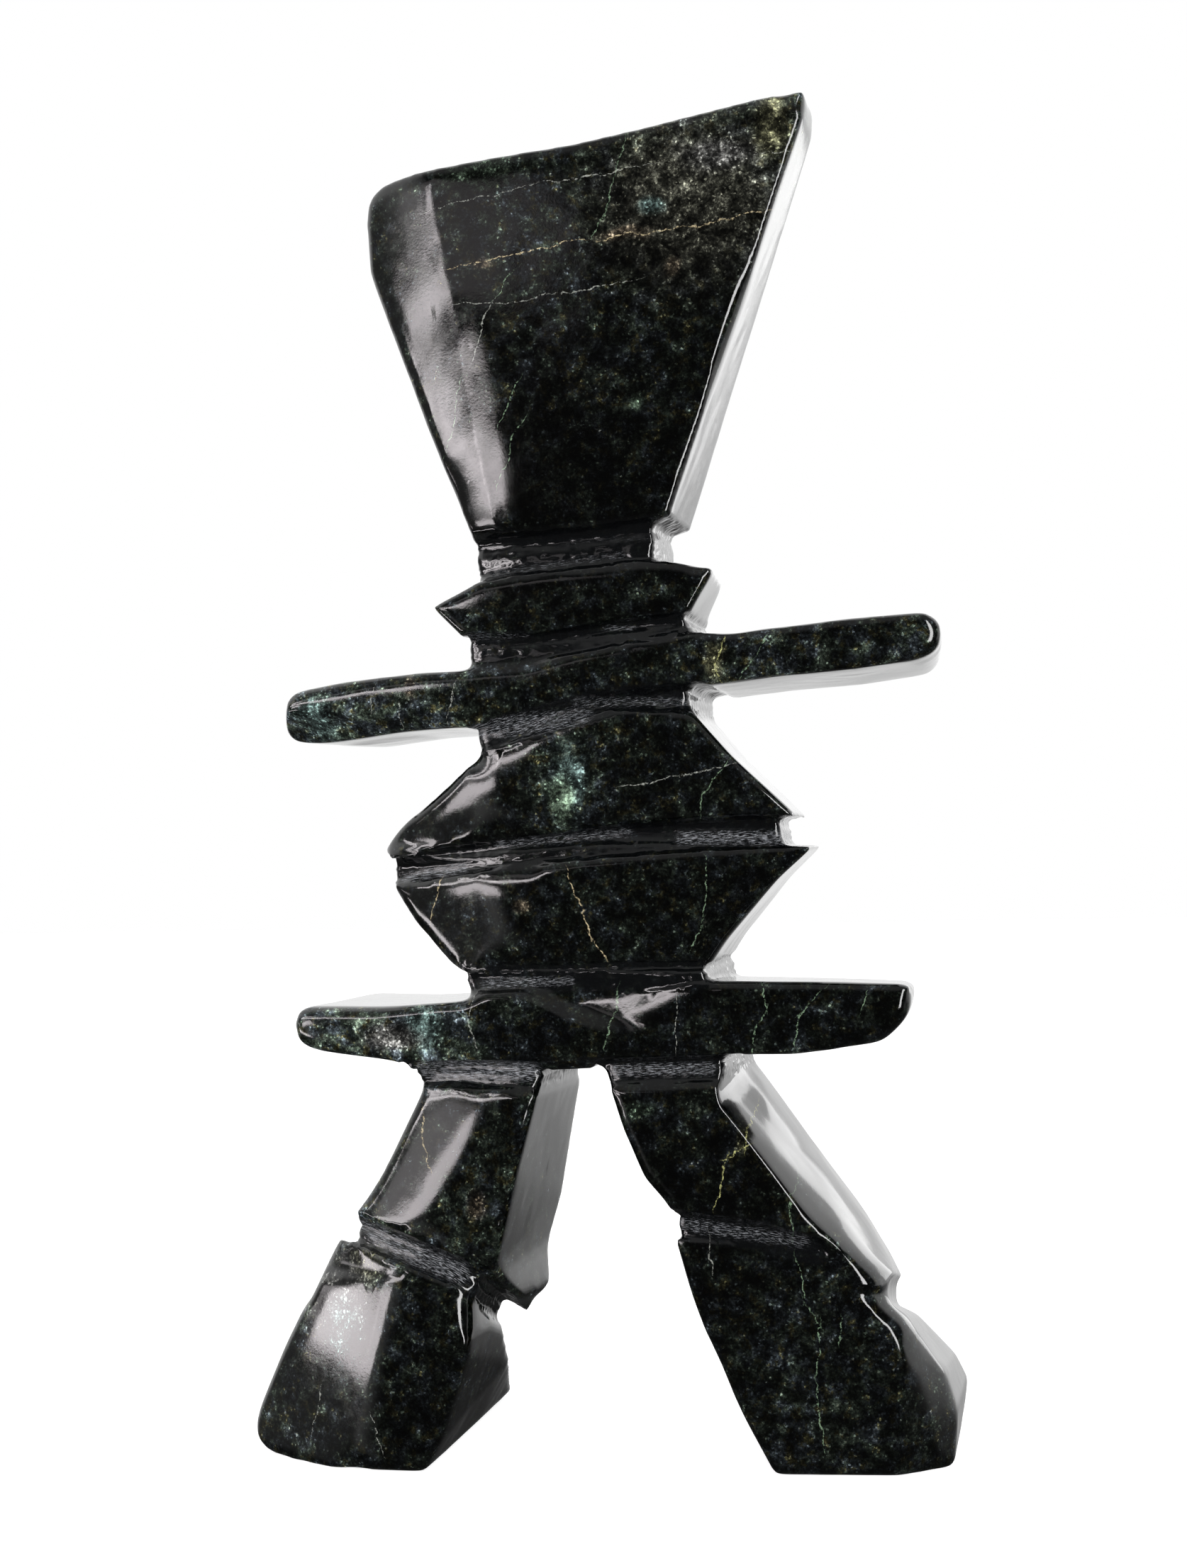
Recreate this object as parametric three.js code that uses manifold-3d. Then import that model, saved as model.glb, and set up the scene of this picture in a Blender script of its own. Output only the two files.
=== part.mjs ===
// Stone figure of stacked slabs: a head, a neck stone, one long arm slab, a two-stone trunk,
// a hip slab and two legs on blocky feet, all carved from a single piece of dark stone.
// Millimetres, +Z up. The figure faces -Y and stands on its two flat soles at z = 0.

import * as THREE from 'three';
import { mergeVertices } from 'three/addons/utils/BufferGeometryUtils.js';
import Module from 'manifold-3d';

// Driving dimensions
const HEIGHT = 280; // soles to the high corner of the head
const CROWN_DEPTH = 18; // front to back at the top of the head
const HEAD_DEPTH = 20; // front to back half way up the head
const NECK_DEPTH = 31; // front to back under the head
const ARM_DEPTH = 41; // front to back of the arm slab
const HIP_DEPTH = 46; // front to back of the hip slab
const LEFT_ANKLE_DEPTH = 31; // front to back where the left leg meets its foot
const RIGHT_ANKLE_DEPTH = 48; // front to back where the right leg meets its foot
const LEFT_INSTEP_DEPTH = 25; // front to back at the top of the left foot
const RIGHT_INSTEP_DEPTH = 45; // front to back at the top of the right foot
const SOLE_DEPTH = 73; // front to back of a foot on the ground
const FRONT_LEAN = 8; // how far the front leans back between soles and crown
const TAPER = 2.5; // how far the ends of a slab draw in on their way to the back
const GROOVE_DEPTH = 2.4; // how far a cut between two stones goes in
const ARRIS = 1.2; // rounding of the polished edges
const ARRIS_STEPS = 2; // facets in that rounding
const CORNER_STEPS = 4; // facets in a rounded corner of an outline

// The pose is drawn in hundredths of the height, x to the viewer's right and z up.
const SHARE = HEIGHT / 100;

// Depths behind the front plane, from the ground up: [hundredths of the height, depth]
const BODY_DEPTHS = [
  [33, HIP_DEPTH],
  [58, ARM_DEPTH],
  [66, NECK_DEPTH],
  [84, HEAD_DEPTH],
  [100, CROWN_DEPTH],
];
const LEFT_LEG_DEPTHS = [[12, LEFT_INSTEP_DEPTH], [15, LEFT_ANKLE_DEPTH], [22, HIP_DEPTH]];
const RIGHT_LEG_DEPTHS = [[12, RIGHT_INSTEP_DEPTH], [15, RIGHT_ANKLE_DEPTH], [33, HIP_DEPTH]];
const LEFT_FOOT_DEPTHS = [[0, SOLE_DEPTH], [12, LEFT_INSTEP_DEPTH]];
const RIGHT_FOOT_DEPTHS = [[0, SOLE_DEPTH], [17, RIGHT_INSTEP_DEPTH]];

// Flats ground along a line of the front, turned back by some degrees on the side that is to the
// left of someone who walks the line. The grooves that cross a flat follow it.
const HEAD_FLAT = { from: [-8.4, 68], to: [-12.6, 92], turn: 13 };
const TRUNK_FLAT = { from: [-7.4, 36], to: [-8.8, 54], turn: 11 };
const LEFT_SHIN_FLAT = { from: [-15.4, 16], to: [-8.8, 28], turn: 14 };
const LEFT_FOOT_FLAT = { from: [-20.8, 0], to: [-17.0, 14.5], turn: 24 };
const RIGHT_SHIN_FLAT = { from: [7.6, 26.8], to: [12.9, 19.5], turn: 35 };
const RIGHT_CALF_FLAT = { from: [8.0, 27.1], to: [13.3, 19.8], turn: 62 };
const RIGHT_FOOT_FLAT = { from: [20.9, 9], to: [19.3, 0], turn: 40, set: 3.6 };

// Each stone is an outline of [x, z, rounding] corners, seen from the front.
// A list of four values holds one for each corner of the stone's box, in the order
// lower left, lower right, upper right, upper left.
// set: how far its front stands back. sunk: how many groove depths both faces are cut in.
// drop: how steeply the stone falls towards the back. tapers: its ends draw in towards the back.
const STONES = [
  {
    name: 'head',
    outline: [
      [-10.8, 68.5], [-6.5, 68.4], [-0.2, 68.6], [4.1, 69.0], [14.6, 98.0], [14.7, 100],
      [11.0, 99.5], [2.7, 98.1], [-2.9, 97.3], [-10.0, 96.7], [-19.2, 95.6, 2.8], [-18.8, 89.0],
      [-14.3, 76.9],
    ],
    flats: [HEAD_FLAT],
  },
  {
    name: 'neck groove',
    outline: [[-10.1, 64.0], [2.7, 65.0], [3.3, 70.0], [-11.3, 70.0]],
    sunk: [1, 0.8, 0.8, 1],
    flats: [HEAD_FLAT],
  },
  {
    name: 'neck stone',
    outline: [
      [-13.9, 63.3], [-11.4, 60.8], [-6.6, 60.7], [-2.0, 61.3], [-0.3, 61.9], [5.3, 61.6],
      [7.4, 65.3], [3.8, 66.0], [-5.4, 65.6], [-10.2, 65.1],
    ],
    tapers: true,
  },
  {
    name: 'shoulder groove',
    outline: [[-10.9, 57.6], [7.2, 59.8], [5.4, 61.0], [5.2, 62.6], [-11.2, 61.4]],
    sunk: [0.6, 0.5, 1, 1],
  },
  {
    name: 'arm slab',
    outline: [
      [-25.4, 57.3, 1.3], [-20.8, 58.0], [-14.8, 58.5], [-6.9, 58.6], [-2.4, 59.6], [5.7, 60.7],
      [12.7, 60.9], [17.5, 61.3], [23.9, 61.6, 1.9], [23.6, 58.3, 1.3], [17.4, 57.6],
      [12.1, 57.3], [4.8, 56.6], [-0.3, 56.1], [-4.9, 55.4], [-9.2, 54.1], [-12.1, 54.3],
      [-16.4, 54.1], [-22.2, 53.4], [-25.4, 53.5, 1.4],
    ],
    drop: [-0.02, 0.05, 0, 0],
    tapers: true,
  },
  {
    name: 'armpit groove',
    outline: [[-9.4, 50.6], [5.6, 53.2], [5.2, 55.4], [5.6, 58.0], [-10.2, 55.6], [-11.0, 54.4]],
    sunk: [0.4, 0.8, 1.4, 1.2],
  },
  {
    name: 'upper trunk',
    outline: [
      [-9.8, 52.6], [-15.6, 48.0], [-18.4, 45.4], [-17.5, 44.5], [-10.2, 45.8],
      [-1.8, 46.8], [8.6, 47.3], [13.3, 47.0], [8.5, 51.6], [5.6, 54.9], [-0.3, 55.4],
      [-4.9, 54.0],
    ],
    tapers: true,
    flats: [TRUNK_FLAT],
  },
  {
    name: 'waist groove',
    outline: [[-17.5, 42.0], [11.9, 44.2], [11.9, 47.6], [-17.6, 46.0]],
    sunk: [1, 1, 1, 1],
    tapers: true,
    flats: [TRUNK_FLAT],
  },
  {
    name: 'lower trunk',
    outline: [
      [-17.8, 42.8], [-15.9, 39.9], [-12.4, 36.8], [-3.8, 36.7], [6.4, 36.4], [7.7, 38.3],
      [11.6, 42.7], [14.3, 45.1], [6.3, 44.9], [-1.9, 44.5], [-9.0, 43.8],
    ],
    tapers: true,
    flats: [TRUNK_FLAT],
  },
  {
    name: 'hip groove',
    outline: [[-11.2, 32.0], [6.2, 32.0], [6.3, 38.2], [-11.5, 38.2]],
    sunk: [1, 0.4, 0.4, 1],
  },
  {
    name: 'hip slab',
    outline: [
      [-24.8, 33.9, 1.1], [-18.1, 33.8], [-11.7, 34.2], [-9.9, 35.0], [-7.0, 34.8],
      [-3.9, 33.4], [-1.2, 32.9], [0.6, 33.4], [2.9, 34.7], [5.8, 35.5], [15.5, 35.4],
      [21.2, 35.2, 0.9], [20.8, 32.9, 0.9], [18.8, 31.0], [12.4, 30.2], [-0.2, 30.0],
      [-6.8, 29.8], [-15.8, 29.6], [-22.8, 30.5], [-24.8, 31.1, 1.1],
    ],
    drop: [0, 0, 0.05, 0],
    tapers: true,
  },
  {
    name: 'left groin groove',
    outline: [[-15.0, 26.5], [-6.8, 26.5], [-5.2, 31.0], [-16.0, 31.0]],
    depths: LEFT_LEG_DEPTHS,
    sunk: [0.9, 0.9, 0.9, 0.9],
    flats: [LEFT_SHIN_FLAT],
  },
  {
    name: 'right groin groove',
    outline: [[-0.5, 26.5], [7.8, 26.5], [7.4, 31.0], [-1.9, 31.0]],
    depths: RIGHT_LEG_DEPTHS,
    sunk: [0.9, 0.9, 0.9, 0.9],
  },
  {
    name: 'crotch',
    outline: [[-6.2, 29.0], [-1.5, 29.2], [-1.5, 31.0], [-6.2, 31.0]],
    sunk: [1, 1, 1, 1],
  },
  {
    name: 'left leg',
    outline: [
      [-15.2, 28.1], [-18.2, 22.3], [-20.5, 18.9], [-16.8, 17.4], [-13.3, 16.0],
      [-9.6, 14.8], [-7.9, 21.7], [-6.2, 27.6],
    ],
    depths: LEFT_LEG_DEPTHS,
    drop: [0.5, 0.5, 0, 0],
    flats: [LEFT_SHIN_FLAT],
  },
  {
    name: 'left ankle groove',
    outline: [[-19.8, 14.5], [-12.4, 11.5], [-10.7, 14.4], [-11.6, 17.5], [-20.2, 19.6]],
    depths: LEFT_LEG_DEPTHS,
    sunk: [1, 1, 1, 1],
    drop: [0.36, 0.36, 0.36, 0.36],
    flats: [LEFT_SHIN_FLAT, LEFT_FOOT_FLAT],
  },
  {
    name: 'left foot',
    outline: [
      [-30.9, 0, 4.8], [-15.1, 0], [-13.7, 2.5], [-11.7, 8.6], [-11.1, 11.7],
      [-12.1, 13.5], [-16.8, 15.3], [-22.1, 17.5], [-24.5, 12.7],
    ],
    depths: LEFT_FOOT_DEPTHS,
    drop: [0, 0, 0.5, 0.3],
    flats: [LEFT_FOOT_FLAT],
  },
  {
    name: 'right leg',
    outline: [
      [-1.0, 28.0], [0.0, 24.9], [1.5, 21.5], [3.5, 19.3], [9.8, 18.1], [14.3, 17.1],
      [18.8, 15.0], [16.1, 19.0], [12.1, 23.3], [7.7, 28.3],
    ],
    depths: RIGHT_LEG_DEPTHS,
    drop: [0.21, 0.21, 0, 0],
    flats: [RIGHT_SHIN_FLAT, RIGHT_CALF_FLAT],
  },
  {
    name: 'right ankle groove',
    outline: [[4.2, 15.5], [18.2, 11.5], [18.3, 15.0], [16.4, 17.6], [4.2, 20.0]],
    depths: RIGHT_LEG_DEPTHS,
    sunk: [1, 1, 1, 1],
    set: [0.8, 1.2, 0, 0],
    drop: [0.21, 0.21, 0.21, 0.21],
    flats: [RIGHT_SHIN_FLAT, RIGHT_CALF_FLAT],
  },
  {
    name: 'right foot',
    outline: [
      [10.2, 0], [22.8, 0], [23.2, 4.7], [22.4, 7.8], [19.7, 12.4], [15.5, 15.1],
      [9.7, 17.0], [3.6, 17.4], [5.7, 10.6], [8.8, 3.2],
    ],
    set: [1.8, 3.6, 2.2, 0.4],
    depths: RIGHT_FOOT_DEPTHS,
    drop: [0, 0, 0.3, 0.3],
    flats: [RIGHT_FOOT_FLAT],
  },
];

const wasm = await Module();
wasm.setup();

// Outlines

function pointOf([x, z]) {
  return new THREE.Vector2(x, z).multiplyScalar(SHARE);
}

function shapeOf(corners) {
  const shape = new THREE.Shape();
  corners.forEach((corner, i) => {
    const at = pointOf(corner);
    const reach = (corner[2] ?? 0) * SHARE;
    const before = pointOf(corners.at(i - 1));
    const after = pointOf(corners[(i + 1) % corners.length]);
    const start = at.clone().lerp(before, reach / at.distanceTo(before));
    const end = at.clone().lerp(after, reach / at.distanceTo(after));
    if (i === 0) shape.moveTo(start.x, start.y);
    else shape.lineTo(start.x, start.y);
    if (reach > 0) shape.quadraticCurveTo(at.x, at.y, end.x, end.y);
  });
  shape.closePath();
  return shape;
}

// Depths

function atCorners(values, u, v) {
  const [lowerLeft, lowerRight, upperRight, upperLeft] = values ?? [0, 0, 0, 0];
  const lower = THREE.MathUtils.lerp(lowerLeft, lowerRight, u);
  const upper = THREE.MathUtils.lerp(upperLeft, upperRight, u);
  return THREE.MathUtils.lerp(lower, upper, v);
}

function frontAt(z) {
  return (FRONT_LEAN * z) / HEIGHT;
}

function depthAt(z, depths = BODY_DEPTHS) {
  const level = THREE.MathUtils.clamp(z / SHARE, depths[0][0], depths.at(-1)[0]);
  const next = Math.max(1, depths.findIndex(([height]) => height >= level));
  const [lowHeight, lowDepth] = depths[next - 1];
  const [highHeight, highDepth] = depths[next];
  return THREE.MathUtils.mapLinear(level, lowHeight, highHeight, lowDepth, highDepth);
}

// Solids

function solidOf(geometry) {
  geometry.deleteAttribute('normal');
  geometry.deleteAttribute('uv');
  const merged = mergeVertices(geometry, 1e-4);
  return new wasm.Manifold(new wasm.Mesh({
    numProp: 3,
    vertProperties: new Float32Array(merged.attributes.position.array),
    triVerts: new Uint32Array(merged.index.array),
  }));
}

// The outline is pushed through to a nominal depth with rounded edges. Each of its points then
// moves to the true front and back there, which gives the wedge that the figure is from the side.
function slabOf(stone) {
  const nominal = HIP_DEPTH;
  const geometry = new THREE.ExtrudeGeometry(shapeOf(stone.outline), {
    depth: nominal - 2 * ARRIS,
    curveSegments: CORNER_STEPS,
    bevelThickness: ARRIS,
    bevelSize: ARRIS,
    bevelOffset: -ARRIS,
    bevelSegments: ARRIS_STEPS,
  });
  geometry.computeBoundingBox();
  const { min, max } = geometry.boundingBox;
  const position = geometry.attributes.position;
  for (let i = 0; i < position.count; i += 1) {
    const x = position.getX(i);
    const z = position.getY(i);
    const inward = 1 - (position.getZ(i) + ARRIS) / nominal;
    const u = THREE.MathUtils.inverseLerp(min.x, max.x, x);
    const v = THREE.MathUtils.inverseLerp(min.y, max.y, z);
    const cut = atCorners(stone.sunk, u, v) * GROOVE_DEPTH;
    const front = frontAt(z) + cut + atCorners(stone.set, u, v) * SHARE;
    const back = frontAt(z) + depthAt(z, stone.depths) - cut;
    const y = THREE.MathUtils.lerp(front, back, inward);
    const drawn = stone.tapers ? TAPER * inward * (1 - 2 * u) : 0;
    position.setXYZ(i, x + drawn, y, z - atCorners(stone.drop, u, v) * (y - frontAt(z)));
  }
  return solidOf(geometry);
}

// The waste ground off a flat is a large block with one face on the flat's plane, or as far
// under it as a groove goes.
function wasteOf({ from, to, turn, set = 0 }, under) {
  const start = new THREE.Vector3(from[0] * SHARE, frontAt(from[1] * SHARE), from[1] * SHARE);
  const end = new THREE.Vector3(to[0] * SHARE, frontAt(to[1] * SHARE), to[1] * SHARE);
  const edge = end.clone().sub(start).normalize();
  const outward = new THREE.Vector3(0, -1, 0).addScaledVector(edge, edge.y).normalize();
  outward.applyAxisAngle(edge, THREE.MathUtils.degToRad(-turn));
  const along = new THREE.Vector3().crossVectors(outward, edge);
  start.addScaledVector(outward, -under);
  start.y += set * SHARE;
  const block = new THREE.BoxGeometry(HEIGHT, HEIGHT, HEIGHT);
  block.translate(0, 0, HEIGHT / 2);
  block.applyMatrix4(new THREE.Matrix4().makeBasis(edge, along, outward));
  block.translate(start.x, start.y, start.z);
  return solidOf(block);
}

function stoneOf(stone) {
  const under = Math.max(...(stone.sunk ?? [0])) * GROOVE_DEPTH;
  const wastes = (stone.flats ?? []).map((flat) => wasteOf(flat, under));
  return wastes.reduce((solid, waste) => solid.subtract(waste), slabOf(stone));
}

// The carving

function geometryOf(solid) {
  const { numProp, vertProperties, triVerts } = solid.getMesh();
  const geometry = new THREE.BufferGeometry();
  geometry.setAttribute('position', new THREE.BufferAttribute(vertProperties, numProp));
  geometry.setIndex(new THREE.BufferAttribute(triVerts, 1));
  return geometry;
}

function standOnOrigin(geometry) {
  geometry.computeBoundingBox();
  const { min, max } = geometry.boundingBox;
  return geometry.translate(-(min.x + max.x) / 2, -(min.y + max.y) / 2, -min.z);
}

const polishedSerpentine = new THREE.MeshStandardMaterial({
  color: new THREE.Color(0.03, 0.045, 0.04),
  roughness: 0.22,
  metalness: 0,
});

const carving = STONES.map(stoneOf).reduce((figure, stone) => figure.add(stone));
const figure = new THREE.Mesh(standOnOrigin(geometryOf(carving)), polishedSerpentine);
figure.name = 'inukshuk_carving';

const part = new THREE.Group();
part.add(figure);

export default part;
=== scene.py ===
# %% [markdown]
# A stacked-stone figure, carved from one piece of dark serpentine.
#
# The real figure was sawn to a stepped outline, the joints between its stones were filed in, and
# the faces were rubbed smooth and waxed. This lesson goes the same way in Blender: the plain solid
# is turned into a fine skin of points, the skin is rubbed and filed with a few lines of numpy, and
# then the stone gets its grain, veins and polish from shader nodes.

# %% Load the plain solid
import math

import bpy
import numpy as np
from mathutils import Matrix, Quaternion, Vector


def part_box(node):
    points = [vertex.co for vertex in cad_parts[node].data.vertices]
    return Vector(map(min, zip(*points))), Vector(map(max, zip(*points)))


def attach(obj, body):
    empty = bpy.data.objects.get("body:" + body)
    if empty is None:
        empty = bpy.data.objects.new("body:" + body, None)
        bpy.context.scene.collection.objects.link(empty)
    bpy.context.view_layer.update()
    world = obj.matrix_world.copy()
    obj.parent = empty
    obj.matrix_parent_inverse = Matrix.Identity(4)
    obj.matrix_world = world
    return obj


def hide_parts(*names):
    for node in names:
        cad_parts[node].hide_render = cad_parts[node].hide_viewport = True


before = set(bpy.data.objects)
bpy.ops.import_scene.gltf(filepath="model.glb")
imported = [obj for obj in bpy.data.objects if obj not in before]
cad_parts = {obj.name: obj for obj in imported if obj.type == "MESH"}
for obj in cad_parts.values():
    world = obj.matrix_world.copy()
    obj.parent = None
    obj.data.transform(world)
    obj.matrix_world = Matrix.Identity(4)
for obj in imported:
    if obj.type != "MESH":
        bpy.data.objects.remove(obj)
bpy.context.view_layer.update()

MM = 0.001
plain_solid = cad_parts["inukshuk_carving"]
low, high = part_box("inukshuk_carving")
print("plain solid:", len(plain_solid.data.polygons), "faces,", round((high.z - low.z) / MM), "mm tall")

# %% [markdown]
# A figure is easier to draw in shares of its own height than in millimetres. One share is a
# hundredth of the height. On the drawing x runs to the viewer's right from a line through the
# neck, and z runs up from the ground, so every later cell can say where a groove or a vein is
# without knowing how large the figure is. The front isn't upright: it leans back by 8 mm in 280.

# %% Shares of the height
SHARE = (high.z - low.z) / 100
LEFT_END_TO_NECK = 29.39
DRAWING_X = low.x + LEFT_END_TO_NECK * SHARE
FRONT_Y = low.y
FRONT_LEAN = 8 / 280


def place(x, z):
    """The point of the front plane at x and z shares."""
    return Vector((DRAWING_X + x * SHARE, FRONT_Y + FRONT_LEAN * z * SHARE, z * SHARE))


print("neck line at x =", round(DRAWING_X / MM, 1), "mm, one share is", round(SHARE / MM, 2), "mm")

# %% [markdown]
# The camera stands a little to the right of the figure and almost level with its waist. A vertical
# sensor fit keeps the framing tied to the picture's height. The small roll is real: the picture was
# taken by hand.

# %% Camera
CAMERA_AT = Vector((0.09666, -0.49096, 0.1275))
CAMERA_TURN = math.radians(11.5)
CAMERA_RISE = math.radians(1.48)
CAMERA_ROLL = math.radians(1.2)
SENSOR_HEIGHT = 24
FOCAL_LENGTH = 35.262
NEAREST_SEEN = 10 * MM

across = Vector((math.cos(CAMERA_TURN), math.sin(CAMERA_TURN), 0))
forward = Vector((-math.sin(CAMERA_TURN) * math.cos(CAMERA_RISE),
                  math.cos(CAMERA_TURN) * math.cos(CAMERA_RISE),
                  math.sin(CAMERA_RISE)))
upright = across.cross(forward)
right = across * math.cos(CAMERA_ROLL) - upright * math.sin(CAMERA_ROLL)
up = across * math.sin(CAMERA_ROLL) + upright * math.cos(CAMERA_ROLL)

lens = bpy.data.cameras.new("camera")
lens.sensor_fit = "VERTICAL"
lens.sensor_height = SENSOR_HEIGHT
lens.lens = FOCAL_LENGTH
lens.clip_start = NEAREST_SEEN
camera = bpy.data.objects.new("camera", lens)
aim = Matrix((right, up, -forward)).transposed().to_4x4()
camera.matrix_world = Matrix.Translation(CAMERA_AT) @ aim
bpy.context.scene.collection.objects.link(camera)
bpy.context.scene.camera = camera
print("camera looks along", [round(v, 3) for v in forward])

# %% [markdown]
# A plain solid has a few large faces, and a hand can't soften what has no points. Blender's voxel
# remesh lays an even skin of small squares over it, half a millimetre or so apart. That is finer
# than a file's scratch, and every part of the stone can then be moved by itself.

# %% Skin of fine points
SKIN_STEP = 0.62 * MM


def with_modifier(mesh, kind, **settings):
    """A new mesh: the old one with one modifier worked in."""
    helper = bpy.data.objects.new("helper", mesh)
    bpy.context.scene.collection.objects.link(helper)
    modifier = helper.modifiers.new(kind.lower(), kind)
    for name, value in settings.items():
        setattr(modifier, name, value)
    graph = bpy.context.evaluated_depsgraph_get()
    worked = bpy.data.meshes.new_from_object(helper.evaluated_get(graph))
    bpy.data.objects.remove(helper)
    return worked


skin = with_modifier(plain_solid.data.copy(), "REMESH", mode="VOXEL", voxel_size=SKIN_STEP)
print("skin:", len(skin.vertices), "points")

# %% [markdown]
# Numpy moves all points at once, which Python's own loops are too slow for. Each point's neighbours
# come from the edges: summing over both ends of every edge gives the mean of the neighbours.

# %% Points, normals and neighbours
def rows_of_three(items, name):
    values = np.empty(len(items) * 3, np.float32)
    items.foreach_get(name, values)
    return values.reshape(-1, 3).astype(float)


def points_of(mesh):
    return rows_of_three(mesh.vertices, "co")


def normals_of(mesh):
    return rows_of_three(mesh.vertex_normals, "vector")


def set_points(mesh, points):
    mesh.vertices.foreach_set("co", points.astype(np.float32).ravel())
    mesh.update()


def edges_of(mesh):
    edges = np.empty(len(mesh.edges) * 2, np.int32)
    mesh.edges.foreach_get("vertices", edges)
    return edges.reshape(-1, 2)


def rub(points, edges, strength, times):
    """Moves each point towards the mean of its neighbours, as sandpaper does."""
    count = len(points)
    ends = np.concatenate([edges[:, 0], edges[:, 1]])
    others = np.concatenate([edges[:, 1], edges[:, 0]])
    degree = np.bincount(ends, minlength=count)
    for _ in range(times):
        for axis in range(3):
            mean = np.bincount(ends, points[others, axis], minlength=count) / degree
            points[:, axis] += strength * (mean - points[:, axis])
    return points


def keep_above_ground(points):
    points[:, 2] = np.maximum(points[:, 2], 0)


# %% [markdown]
# Where is a point on the drawing? The ankle grooves fall towards the back, so a point's height is
# first brought back to the front plane. Distances to a drawn line then tell how near a point is to
# a groove or to the edge of a flat, and a smooth step turns a distance into a mask from 0 to 1.

# %% Distances on the drawing
def drawn(points, drop=0.0):
    """x and z of each point on the drawing, in shares, and its depth behind the front in metres."""
    depth = points[:, 1] - FRONT_Y - FRONT_LEAN * points[:, 2]
    x = (points[:, 0] - DRAWING_X) / SHARE
    z = (points[:, 2] + drop * depth) / SHARE
    return x, z, depth


def smooth_step(value, zero_at, one_at):
    """0 at the first value and 1 at the second, whichever of them is larger."""
    t = np.clip((value - zero_at) / (one_at - zero_at), 0, 1)
    return t * t * (3 - 2 * t)


def line_distance(x, z, line):
    """Distance off a drawn line, more than 0 on its left, and the way along it, in shares."""
    best = np.full(len(x), np.inf)
    off_line = np.zeros(len(x))
    along_line = np.zeros(len(x))
    walked = 0.0
    for (x0, z0), (x1, z1) in zip(line, line[1:]):
        length = math.hypot(x1 - x0, z1 - z0)
        tx, tz = (x1 - x0) / length, (z1 - z0) / length
        t = np.clip((x - x0) * tx + (z - z0) * tz, 0, length)
        away = np.hypot(x - x0 - t * tx, z - z0 - t * tz)
        side = np.sign((z - z0) * tx - (x - x0) * tz)
        nearer = away < best
        best = np.where(nearer, away, best)
        off_line = np.where(nearer, away * side, off_line)
        along_line = np.where(nearer, walked + t, along_line)
        walked += length
    return off_line, along_line


def away_from(x, z, line):
    """Distance to a drawn line, on either side, in shares."""
    return np.abs(line_distance(x, z, line)[0])


def near_place(x, z, place_x, place_z, reach):
    """1 at a place on the drawing, and softly less around it. All in shares."""
    return np.exp(-((x - place_x) ** 2 + (z - place_z) ** 2) / reach ** 2)


# %% [markdown]
# Waves with random directions add up to a soft, even unrest with a known wavelength. It costs a few
# cosines, gives the same result each run, and stands for what a hand leaves in stone: faces
# that are never quite flat and edges that are never quite straight.

# %% Unrest
SLOWEST = 0.6
FASTEST = 1.5


def unrest(points, wavelength, seed, stretch=(1, 1, 1), waves=24):
    """About -1 to 1, changing over the given wavelength in metres."""
    random = np.random.default_rng(seed)
    way = random.normal(size=(waves, 3))
    way /= np.linalg.norm(way, axis=1)[:, None]
    pace = random.uniform(SLOWEST, FASTEST, waves) * 2 * np.pi / wavelength
    start = random.uniform(0, 2 * np.pi, waves)
    total = np.zeros(len(points))
    for k in range(waves):
        total += np.cos((points * stretch) @ way[k] * pace[k] + start[k])
    return total / math.sqrt(waves)


# %% [markdown]
# The outline was sawn by eye, so no notch between two stones is like another: one cuts in a little
# further, one has a lip, one sits lower. Each line below takes hold of the stone at a place on the
# drawing and shifts it sideways and up, mostly by a few tenths of a share and by a whole one at the
# left ankle. The shift dies out softly over the given reach, as if the stone were clay for a moment.

# %% Nudged notches
NUDGES = [
    # x, z, reach, then how far sideways and how far up, in shares
    (-19.0, 17.0, 1.3, -1.1, 0.4),
    (-20.0, 16.8, 1.0, -0.1, 0.6),
    (-8.6, 12.3, 1.3, 0.9, -0.9),
    (4.6, 18.6, 1.1, -0.65, -0.15),
    (19.2, 14.4, 1.2, 0.5, -0.1),
    (-15.0, 29.8, 1.1, -0.6, -0.6),
    (-11.3, 36.9, 1.3, -0.7, -0.2),
    (-13.3, 38.4, 1.5, -0.2, -0.2),
    (-16.3, 44.6, 1.2, -0.5, -0.1),
    (-16.2, 46.5, 1.4, -0.2, 0.2),
    (7.6, 64.0, 1.0, 0.35, 0.2),
    (8.5, 60.8, 2.0, 0.0, -0.25),
    (23.2, 57.5, 1.0, -0.3, 0.2),
    (-25.5, 8.0, 5.0, -0.2, 0.1),
    (5.5, 13.0, 3.0, -0.2, 0.0),
    (8.5, 5.0, 3.0, -0.2, 0.0),
]

points = points_of(skin)
x, z, _ = drawn(points)
before = points.copy()
for place_x, place_z, reach, aside, upward in NUDGES:
    near = near_place(x, z, place_x, place_z, reach)
    points[:, 0] += near * aside * SHARE
    points[:, 2] += near * upward * SHARE
keep_above_ground(points)
set_points(skin, points)
print("nudged by up to", round(float(np.abs(points - before).max()) / MM, 1), "mm")

# %% [markdown]
# The grooves between the stones were cut with a round file. Each is written down as the line it
# follows on the drawing, half its width in shares, and how steeply it falls to the back. From
# that comes a mask that is 1 on the groove's floor, for the file marks now and for the matt
# finish later.

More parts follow.
